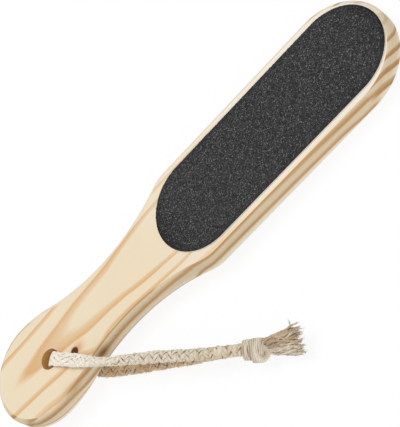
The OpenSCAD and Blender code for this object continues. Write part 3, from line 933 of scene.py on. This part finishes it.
def braid(yarns, line, even, side, wide, deep, lay, yarn, tone, wave, contrast, rng):
    """A tubular braid on an oval: six strands go round one way and six the other, each over
    two and under two. wide and deep are the cord's full width and thickness. Where the
    contrast is higher, its strands are less even and more shade is painted in their hollows."""
    _, across, over = line_frame(line, side)
    step = np.diff(even) / ((lay[1:] + lay[:-1]) / 2)
    turned = np.concatenate([[0], np.cumsum(step)]) * TURN + drift(rng, even, "turn")
    uneven, rough = 1 + 0.8 * contrast, 1 + 1.5 * contrast
    for way in (1, -1):
        for strand in range(STRANDS):
            phase = drift(rng, even, "phase") * uneven
            angle = way * turned + (strand + phase) * TURN / STRANDS
            lift = way * np.cos(STRANDS * turned / 2 - math.pi / 4)
            swell = 1 + drift(rng, even, "swell") * uneven
            stain = np.clip(tone + drift(rng, even, "stain") * np.minimum(1, 2 * tone), 0, 1)
            size = yarn / 2 * swell
            # Painted shade in the hollows between strands, less on top of a strand
            hollow = np.clip(BRAID_HOLLOW[0] - BRAID_HOLLOW[1] * lift, 0, 1) * contrast
            for part in range(YARNS_IN_STRAND):
                shift = (part - (YARNS_IN_STRAND - 1) / 2) * YARN_PITCH * yarn
                # The yarns of a strand lie side by side, square to the way that it runs
                at = angle + way * shift / ((wide + deep) / 4) / STRAND_SLANT
                inset = YARN_INSET * yarn - lift * wave + drift(rng, even, "inset") * rough
                a = np.maximum(wide / 2 - inset, LEAST_RADIUS)
                b = np.maximum(deep / 2 - inset, LEAST_RADIUS)
                path = oval(line, across, over, a, b, at)
                flat = np.cross(unit(np.gradient(path, axis=0)),
                                unit(oval(0, across, over, b, a, at)))
                yarns.add(path, flat, YARN_OVAL[0] * size, YARN_OVAL[1] * size, 6, stain, hollow)


def stray_fibres(yarns, line, side, wide, deep, count, tone, rng):
    """Short loose fibres that stand off a cord's surface."""
    heading, across, over = line_frame(line, side)
    for _ in range(count):
        i = rng.randrange(30, len(line) - 6)
        at = rng.uniform(0, TURN)
        right, up = math.cos(at) * across[i], math.sin(at) * over[i]
        out = right + up
        root = line[i] + (right * wide[i] + up * deep[i]) * 0.46
        way = rng.choice((-1, 1)) * heading[i]
        way = way + rng.uniform(-0.5, 0.5) * np.cross(heading[i], out)
        length = rng.uniform(*FIBRE_LENGTHS) * MM
        rise = rng.uniform(*FIBRE_RISES)
        t = np.linspace(0, 1, 6)[:, None]
        path = root + way * t * length + out * length * rise * np.sin(t * rng.uniform(1.6, 3.0))
        thin = np.linspace(*FIBRE_RADII, 6) * MM
        yarns.add(path, out, thin, thin, 3, tone[i], 0.1)


def knot_frame():
    """The knot's points and axis, and the directions across it, in metres."""
    points = np.array(KNOT_MM) * MM
    axis = unit(points[-1] - points[0])
    stack = square_to(axis, STACK_SIDE)
    return points, axis, stack, np.cross(axis, stack)


def make_leg(name, route, stack_way, cord, material, node, tones, pinch, rng):
    """A braided leg, from the middle of the hole to the knot. Tones and pinch, its width beside
    its usual one, are places along its points and values."""
    points, _, stack, _ = knot_frame()
    end = points[0] + stack_way * stack * cord.leg_pitch / 2
    line, even, place = smooth_route(np.vstack([np.array(route) * MM, end]), LEG_POINTS)
    flat = np.interp(place, range(len(FLAT_SHARES)), FLAT_SHARES)
    last = np.clip((place - len(route) + 1), 0, 1)
    in_hole = np.interp(place, *IN_HOLE)
    wide = cord.free_width + (cord.flat_width - cord.free_width) * flat
    wide = wide * np.interp(place, *pinch) * (1 + drift(rng, even, "width") * (1 - flat))
    loose = cord.free_depth + (cord.flat_depth - cord.free_depth) * flat
    deep = (loose + (cord.throat - loose) * last) * (1 - HOLE_PRESS * in_hole)
    middle = line + unit(HOLE_PULL) * (HOLE_OFF * in_hole)[:, None]
    lay = cord.lay * (1 + MOST_STRETCH * np.interp(place, *STRETCHED))
    wave = (STRAND_RISE[0] - STRAND_RISE[1] * flat) * cord.yarn
    contrast = np.interp(place, *CONTRAST)
    tone = np.interp(place, *tones)
    yarns = YarnMesh()
    # A core under the braid, painted in shade where it shows between the strands
    core = [size / 2 - inset * cord.yarn for size, inset in zip((wide, deep), CORE_INSETS)]
    yarns.add(middle, FLAT_SIDE, *core, 10, tone, 0.8 * contrast)
    braid(yarns, middle, even, FLAT_SIDE, wide, deep, lay, cord.yarn, tone, wave, contrast, rng)
    stray_fibres(yarns, middle, FLAT_SIDE, wide, deep, STRAY_FIBRES, tone, rng)
    piece = yarns.build(name, material)
    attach(piece, CORD_BODY)
    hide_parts(node)


def make_tail(name, way, route, fan, cord, material, node, tone, base, rng):
    """A tail: yarns leave the knot side by side, wander, open into a fan and end frayed. Base
    is how much shade is painted in its hollows."""
    points, axis, _, side = knot_frame()
    start = points[-1] + way * side * cord.tail_pitch / 2
    back = start - axis * 1.5 * MM
    line, even, _ = smooth_route(np.vstack([[back, start], np.array(route) * MM]), TAIL_POINTS)
    share = even / even[-1]
    stops, widths, depths, droop = fan
    line = line - FAN_SIDE * (np.interp(share, (0, 1), droop) * MM)[:, None]
    wide, deep = np.interp(share, stops, widths) * MM, np.interp(share, stops, depths) * MM
    heading, across, over = line_frame(line, FAN_SIDE)
    yarns = YarnMesh()
    core = slice(CORE_POINTS)
    # The tail's core, painted in shade where it shows between the yarns
    yarns.add(line[core], FAN_SIDE, wide[core] / 2 - 0.9 * MM, deep[core] / 2 - 0.9 * MM, 10,
              tone, 0.8)
    for i in range(TAIL_YARNS):
        angle, reach = YARN_ANGLE * i, math.sqrt((i + 0.5) / TAIL_YARNS)
        angle = angle + 0.9 * np.sin(share * 5 + 0.7 * i) * (1 - 0.5 * share)
        a = reach * (wide / 2 - cord.tail_yarn / 2)
        b = reach * (deep / 2 - cord.tail_yarn / 2)
        curl = (share ** 2)[:, None] * random_vector(rng, TAIL_CURL) * MM
        path = (oval(line, across, over, a, b, angle) + curl
                + across * drift(rng, even, "tail")[:, None]
                + over * drift(rng, even, "tail")[:, None])
        stop = rng.randint(*TAIL_ENDS)
        size = cord.tail_yarn / 2 * rng.uniform(*YARN_SIZES)
        stain = np.clip(tone + rng.uniform(*YARN_TONES), 0, 1)
        # Painted shade: yarns further in are darker, and those beside the other tail lie in a dark
        # gap
        inner = np.clip(1 - share / 0.55, 0, 1) * np.clip(way * np.cos(angle), 0, 1)
        hollow = np.clip(base - 0.5 * reach + 1.2 * inner + drift(rng, even, "tail_hollow"), 0, 1)
        thick = (size * (1 + 0.16 * np.sin(even / MM * 3.2 + i)))[:stop]
        yarns.add(path[:stop], side, thick, thick, 6, stain, hollow[:stop])
        for _ in range(HAIRS):
            grow = np.linspace(0, 1, 8)[:, None]
            length = rng.uniform(*HAIR_LENGTHS) * MM
            spread = random_vector(rng, 1) * HAIR_SPREAD
            first = path[stop - 3] + random_vector(rng, HAIR_SPREAD) * MM
            hair = first + length * grow * (heading[stop - 1] + spread * grow)
            thin = np.linspace(*HAIR_RADII, 8) * MM
            yarns.add(hair, side, thin, thin, 4, 0.8 * tone, 0.15)
    if way < 0:
        # Two loose threads stand off the end of the front tail
        for rise, reach in LOOSE_THREADS:
            grow = np.linspace(0, 1, 10)[:, None]
            root = line[57] + across[57] * wide[57] * 0.40
            loose = root + across[48] * grow * 3.4 * reach * MM + heading[57] * MM * (
                rise * np.sin(3 * grow) - 1.6 * (1 - rise))
            thin = np.linspace(*THREAD_RADII, 10) * MM
            yarns.add(loose, side, thin, thin, 5, 0.5, 0.3)
    piece = yarns.build(name, material)
    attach(piece, CORD_BODY)
    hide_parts(node)


def make_knot(cord, material, rng):
    """An overhand knot in both legs: two bands of yarn that wrap round it and a last turn."""
    points, _, _, side = knot_frame()
    line, even, _ = smooth_route(points, KNOT_POINTS)
    share = even / even[-1]
    facing = square_to(BAND_AXIS, OPEN_SIDE)
    upward = np.cross(facing, BAND_AXIS)
    yarns = YarnMesh()
    full = np.sqrt(np.sin(math.pi * np.clip(share * 0.8 + 0.12, 0.02, 0.98)))
    core = (cord.knot / 2 - KNOT_WALL) * full
    # The knot's core, painted in full shade where it shows between the bands
    yarns.add(line, side, core, core, 16, 0.6, 1.0)
    turn = np.linspace(-math.pi, math.pi, WRAP_POINTS)
    gone = turn + math.pi
    for at, lift, radius, count, lead in KNOT_BANDS:
        middle = np.array([np.interp(at, share, line[:, k]) for k in range(3)])
        middle = middle + upward * lift * MM
        for i in range(count):
            offset = (i - (count - 1) / 2)
            crown = math.sqrt(1 - (offset / (count / 2 + 0.3)) ** 2)
            r = (radius - BAND_CROWN + BAND_CROWN * crown) * MM + drift(rng, gone, "wrap")
            along = (offset * cord.wrap * WRAP_PITCH + lead * MM * np.cos(turn)
                     + drift(rng, gone, "wrap_along"))
            path = oval(middle + BAND_AXIS * along[:, None], facing, upward, r, r, turn)
            # Painted shade, deeper towards a band's edges
            hollow = (BAND_HOLLOW[0] + BAND_HOLLOW[1] * (offset / count) ** 2
                      + drift(rng, gone, "wrap_hollow"))
            yarns.add(path, BAND_AXIS, WRAP_OVAL[0] * cord.wrap, WRAP_OVAL[1] * cord.wrap, 8,
                      WRAP_TONE, np.clip(hollow, 0, 1))
    # The last turn runs round a small dark gap and dives under the second band
    (right, rise, front), radius, thick, count = KNOT_LOOP
    out = unit(OPEN_SIDE + LOOP_LEAN * BAND_AXIS)
    level = square_to(out, BAND_AXIS)
    high = np.cross(out, level)
    centre = (np.array(KNOT_MM[3]) + level * right + high * rise + out * front) * MM
    turn = np.radians(np.linspace(*LOOP_ARC))
    ring = oval(0, level, high, 1, 1, turn)
    dive = LOOP_DIVE * ((turn - LOOP_TOP) / LOOP_HALF) ** 4
    path = centre + radius * MM * ring - out * dive[:, None]
    core = thick / 2 * MM - 0.7 * cord.wrap
    # The last turn's core, painted nearly in full shade
    yarns.add(path, out, core, core, 10, 0.6, 0.9)
    for i in range(count):
        at = TURN * i / count + 0.35 * turn
        r = thick / 2 * MM - 0.5 * cord.wrap + drift(rng, turn[0] - turn, "loop")
        # Painted shade, less on top of the last turn
        hollow = np.clip(LOOP_HOLLOW[0] - LOOP_HOLLOW[1] * np.cos(at), 0, 1)
        yarns.add(oval(path, ring, out, r, r, at), out, LOOP_OVAL[0] * cord.wrap,
                  LOOP_OVAL[1] * cord.wrap, 6, WRAP_TONE, hollow)
    piece = yarns.build("tied_knot", material)
    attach(piece, CORD_BODY)
    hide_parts("cord_knot")


def make_camera():
    data = bpy.data.cameras.new("camera")
    data.lens = CAMERA_LENS_MM
    data.clip_start, data.clip_end = CAMERA_CLIP
    camera = bpy.data.objects.new("camera", data)
    axes = Matrix((CAMERA_RIGHT, CAMERA_UP, CAMERA_BACK)).transposed().to_4x4()
    camera.matrix_world = Matrix.Translation(CAMERA_PLACE) @ axes
    bpy.context.scene.collection.objects.link(camera)
    bpy.context.scene.camera = camera


def background_rays(node):
    """What the rays are, and which of them see the background, also in gloss or glass."""
    rays = node("LightPath", out=None)
    clear = node("Math MAXIMUM", rays["Is Glossy Ray"], rays["Is Transmission Ray"])
    return rays, node("Math MAXIMUM", rays["Is Camera Ray"], clear)


def make_floor(stage):
    slope = (FLOOR_FAR.z - FLOOR_NEAR.z) / (FLOOR_FAR.x - FLOOR_NEAR.x)
    deselect()
    bpy.ops.mesh.primitive_plane_add(
        size=FLOOR_SIZE, location=(0, 0, FLOOR_NEAR.z - slope * FLOOR_NEAR.x))
    floor = bpy.context.object
    floor.name = "floor"
    floor.rotation_euler = (0, -math.atan(slope), 0)
    material, node = new_material("white_floor")
    rays, seen = background_rays(node)
    # Light also comes up through the floor, so that the side that lies down isn't dark
    lit = node("Math MAXIMUM", node("Math MULTIPLY", seen, FLOOR_WHITE),
               node("Math MULTIPLY", rays["Is Diffuse Ray"], FLOOR_LIGHT))
    both = node("MixShader", lit, node("BsdfDiffuse", stage.floor),
                node("Emission", "#FFFFFF", 1))
    # From below the floor isn't seen, so that the back of the file can be looked at
    above = node("MixShader", node("NewGeometry", out="Backfacing"), both,
                 node("BsdfTransparent"))
    node("OutputMaterial", above, out=None)
    floor.data.materials.append(material)


def make_lights(stage):
    world = bpy.data.worlds.new("studio")
    world.use_nodes = True
    world.node_tree.nodes.clear()
    node = functools.partial(add_node, world.node_tree)
    both = node("MixShader", background_rays(node)[1],
                node("Background", "#FFFFFF", stage.sky), node("Background", "#FFFFFF", 1))
    node("OutputWorld", both, out=None)
    bpy.context.scene.world = world
    for name, power, place in (("key_lamp", stage.key, KEY_PLACE),
                               ("fill_lamp", stage.fill, FILL_PLACE)):
        lamp = bpy.data.lights.new(name, "AREA")
        lamp.energy, lamp.size = power, stage.key_size
        light = bpy.data.objects.new(name, lamp)
        light.location = place
        light.rotation_euler = (-light.location).to_track_quat("-Z", "Y").to_euler()
        bpy.context.scene.collection.objects.link(light)
    bpy.context.scene.view_settings.view_transform = "Standard"


class FOOTFILE_OT_stage(bpy.types.Operator):
    """Make the camera, the pale floor and the soft studio light"""
    bl_idname = "foot_file.add_stage"
    bl_label = "Add stage"

    def execute(self, context):
        make_camera()
        make_floor(context.scene.foot_file_stage)
        make_lights(context.scene.foot_file_stage)
        return {"FINISHED"}


class FOOTFILE_OT_cord(bpy.types.Operator):
    """Make the cord: its knot, its frayed tails and its two braided legs"""
    bl_idname = "foot_file.add_cord"
    bl_label = "Add cord"

    def execute(self, context):
        cord = context.scene.foot_file_cord
        braided = cotton_material("braided_cotton", cord)
        frayed = cotton_material("frayed_cotton", cord)
        rng = random.Random(CORD_SEED)
        make_knot(cord, braided, rng)
        make_tail("front_frayed_tail", -1, FRONT_TAIL_MM, FRONT_FAN, cord, frayed,
                  "cord_front_tail", *FRONT_TAIL_LOOK, rng)
        make_tail("back_frayed_tail", 1, BACK_TAIL_MM, BACK_FAN, cord, frayed,
                  "cord_back_tail", *BACK_TAIL_LOOK, rng)
        make_leg("front_cord_leg", FRONT_LEG_MM, 1, cord, braided, "cord_front_leg",
                 FRONT_TONES, FRONT_PINCH, rng)
        make_leg("back_cord_leg", BACK_LEG_MM, -1, cord, braided, "cord_back_leg",
                 BACK_TONES, BACK_PINCH, rng)
        return {"FINISHED"}


class FOOTFILE_OT_board(bpy.types.Operator):
    """Make the pine board with its rounded edge and its hole"""
    bl_idname = "foot_file.add_board"
    bl_label = "Add board"

    def execute(self, context):
        make_board(context.scene.foot_file_board)
        return {"FINISHED"}


class FOOTFILE_OT_sheets(bpy.types.Operator):
    """Make both grit faces, and finish the paper and the adhesive under them"""
    bl_idname = "foot_file.add_sheets"
    bl_label = "Add sanding sheets"

    def execute(self, context):
        s = context.scene.foot_file_sheets
        make_grit("coarse_grit_face", FRONT_GRIT_LOW, FRONT_GRIT_HIGH, s.grain, s.relief,
                  COARSE_STEP, grit_material("coarse_grit", s.grain, s.grit, s.painted_glint),
                  "front_coarse_grit", 1)
        make_grit("fine_grit_face", BACK_GRIT_LOW, BACK_GRIT_HIGH, s.fine_grain, s.fine_relief,
                  FINE_STEP, grit_material("fine_grit", s.fine_grain, s.fine_grit, s.painted_glint),
                  "back_fine_grit", -1)
        paper, film = paper_material(s.paper), film_material(s.film)
        for side in ("front", "back"):
            dress(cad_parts[side + "_backing_paper"], paper)
            dress(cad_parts[side + "_adhesive"], film)
        return {"FINISHED"}


class FOOTFILE_PT_panel(bpy.types.Panel):
    """Sizes, colours and the buttons that build the foot file"""
    bl_idname = "FOOTFILE_PT_panel"
    bl_label = "Foot file"
    bl_space_type = "VIEW_3D"
    bl_region_type = "UI"
    bl_category = "Foot file"

    def draw(self, context):
        for title, name, _, operator in PARTS:
            box = self.layout.box()
            box.label(text=title)
            settings = getattr(context.scene, name)
            for name in settings.__annotations__:
                box.prop(settings, name)
            box.operator(operator)


# The panel's boxes: title, name and group of the settings, and operator
PARTS = (
    ("Stage", "foot_file_stage", FootFileStage, "foot_file.add_stage"),
    ("Cord", "foot_file_cord", FootFileCord, "foot_file.add_cord"),
    ("Board", "foot_file_board", FootFileBoard, "foot_file.add_board"),
    ("Sanding sheets", "foot_file_sheets", FootFileSheets, "foot_file.add_sheets"))
CLASSES = tuple(group for _, _, group, _ in PARTS) + (
    FOOTFILE_OT_stage, FOOTFILE_OT_cord, FOOTFILE_OT_board, FOOTFILE_OT_sheets, FOOTFILE_PT_panel)


def register():
    for item in CLASSES:
        bpy.utils.register_class(item)
    for _, name, group, _ in PARTS:
        setattr(bpy.types.Scene, name, bpy.props.PointerProperty(type=group))


def unregister():
    for _, name, _, _ in PARTS:
        delattr(bpy.types.Scene, name)
    for item in reversed(CLASSES):
        bpy.utils.unregister_class(item)


def main():
    register()
    bpy.ops.foot_file.add_stage()
    bpy.ops.foot_file.add_cord()
    bpy.ops.foot_file.add_board()
    bpy.ops.foot_file.add_sheets()


if __name__ == "__main__":
    main()
